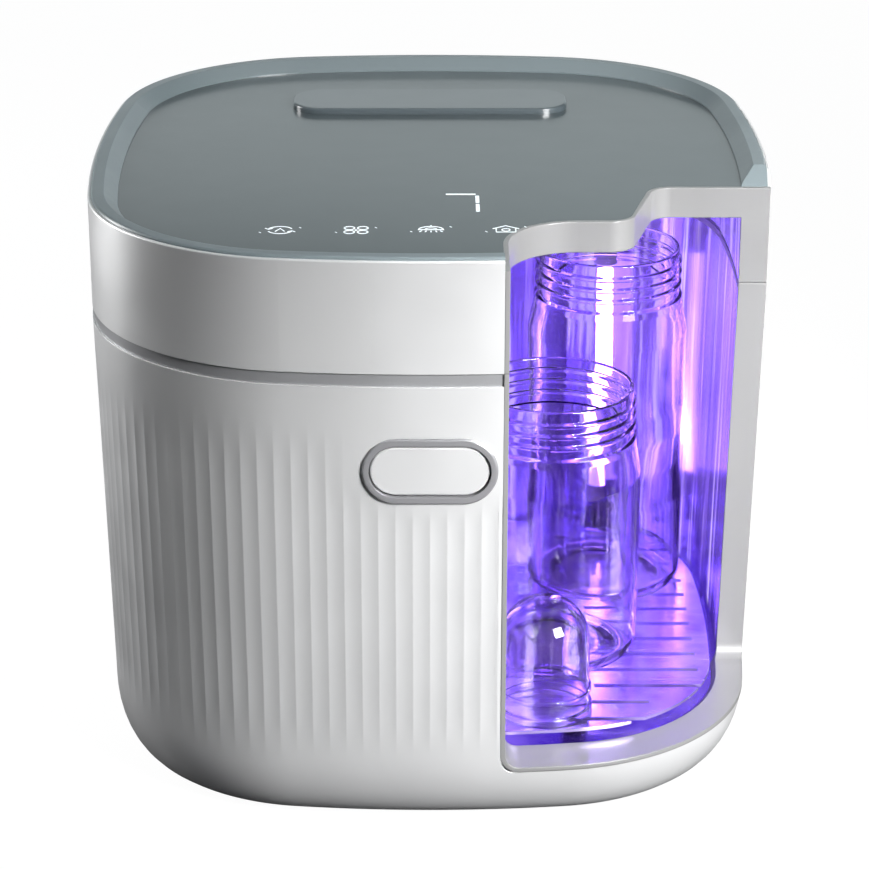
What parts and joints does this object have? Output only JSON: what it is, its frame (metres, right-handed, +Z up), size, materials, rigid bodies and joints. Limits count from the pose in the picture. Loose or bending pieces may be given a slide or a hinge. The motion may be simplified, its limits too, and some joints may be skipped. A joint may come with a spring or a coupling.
{
  "type": "bottle sterilizer",
  "caption": "Countertop UV bottle sterilizer and dryer with hinged lid, front release button and a sectioned corner that shows the lit mirror chamber, slotted rack and bottles.",
  "frame": {"origin": "centre of the resting face on the floor, under the middle of the case", "axes": "+Z up, front with the release button towards -Y, +X to the right of someone facing it"},
  "size_m": [0.28, 0.3093, 0.243],
  "materials": {
    "white_casing": "satin silver-white",
    "seam_grey": "matt grey",
    "collar_white": "moulded",
    "silicone": "soft",
    "mirror_steel": "polished",
    "section_grey": "satin",
    "rubber": "matt",
    "steel": "plated",
    "satin_grey": "satin",
    "nylon_black": "moulded",
    "lamp_socket": "ceramic white",
    "uv_glow": "glowing violet",
    "heater": "finned",
    "filter_paper": "pleated",
    "circuit_board": "solder mask",
    "panel_glass": "dark grey-teal",
    "rim_teal": "teal-grey",
    "indicator": "lit icon",
    "magnet": "nickel",
    "clear_bottle": "clear"
  },
  "bodies": {
    "base": {"outer_casing": "white_casing", "seam_band": "seam_grey", "top_collar": "collar_white", "base_plate": "collar_white", "lid_gasket": "silicone", "chamber_liner": "mirror_steel", "air_grille": "mirror_steel", "body_section_trim": "section_grey", "rubber_feet": "rubber", "rear_frame": "steel", "base_screws": "steel", "latch_bracket": "steel", "latch_pin": "steel", "hinge_pins": "steel", "hinge_brackets": "steel", "temperature_probe": "steel", "button_springs": "steel", "fan_motor": "steel", "button_bezel": "satin_grey", "fan_housing": "nylon_black", "air_duct": "nylon_black", "power_inlet": "nylon_black", "lid_sensor": "nylon_black", "rear_lamp_sockets": "lamp_socket", "rear_lamps": "uv_glow", "heater_element": "heater", "power_board": "circuit_board"},
    "lid": {"lid_hinge_leaves": "steel", "lid_shell": "white_casing", "lid_rim": "rim_teal", "lid_panel": "panel_glass", "lid_vent_bar": "panel_glass", "lid_liner": "mirror_steel", "lid_catch": "nylon_black", "lid_section_trim": "section_grey", "lid_lamp": "uv_glow", "lid_lamp_sockets": "lamp_socket", "touch_board": "circuit_board", "light_guides": "indicator", "display_module": "nylon_black", "lid_magnet": "magnet", "lid_screws": "steel"},
    "button": {"release_button": "white_casing"},
    "latch": {"latch_lever": "nylon_black"},
    "fan": {"fan_impeller": "nylon_black"},
    "filter": {"air_filter": "filter_paper", "filter_cover": "white_casing"},
    "rack": {"drying_rack": "mirror_steel", "rack_pads": "rubber"},
    "bottle_front": {"bottle_front": "clear_bottle"},
    "bottle_rear": {"bottle_rear": "clear_bottle"},
    "bottle_left": {"bottle_left": "clear_bottle"},
    "teat_cover": {"teat_cover": "clear_bottle"}
  },
  "joints": [
    {"name": "lid_hinge", "type": "hinge", "parent": "base", "child": "lid", "pos_m": [0, 0.1525, 0.1943], "axis": [-1, 0, 0], "range_deg": [0, 80]},
    {"name": "button_press", "type": "slide", "parent": "base", "child": "button", "axis": [0, 1, 0], "range_m": [0, 0.0025], "stiffness_N_per_m": 500, "springref_m": -0.002, "deforming": ["button_springs"]},
    {"name": "latch_rock", "type": "hinge", "parent": "base", "child": "latch", "pos_m": [0, -0.1417, 0.178], "axis": [1, 0, 0], "range_deg": [0, 7]},
    {"name": "fan_spin", "type": "hinge", "parent": "base", "child": "fan", "pos_m": [-0.058, 0.12, 0.058], "axis": [0, 1, 0], "continuous": true},
    {"name": "filter_pull", "type": "slide", "parent": "base", "child": "filter", "axis": [0, 1, 0], "range_m": [0, 0.03]},
    {"name": "rack_lift", "type": "slide", "parent": "base", "child": "rack", "axis": [0, 0, 1], "range_m": [0, 0.01]},
    {"name": "bottle_front_lift", "type": "slide", "parent": "rack", "child": "bottle_front", "axis": [0, 0, 1], "range_m": [0, 0.025]},
    {"name": "bottle_rear_lift", "type": "slide", "parent": "rack", "child": "bottle_rear", "axis": [0, 0, 1], "range_m": [0, 0.01]},
    {"name": "bottle_left_lift", "type": "slide", "parent": "rack", "child": "bottle_left", "axis": [0, 0, 1], "range_m": [0, 0.02]},
    {"name": "teat_cover_lift", "type": "slide", "parent": "rack", "child": "teat_cover", "axis": [0, 0, 1], "range_m": [0, 0.025]}
  ],
  "couplings": [
    {"joint": "latch_rock", "follows": "button_press", "rad_per_m": 47.6}
  ]
}
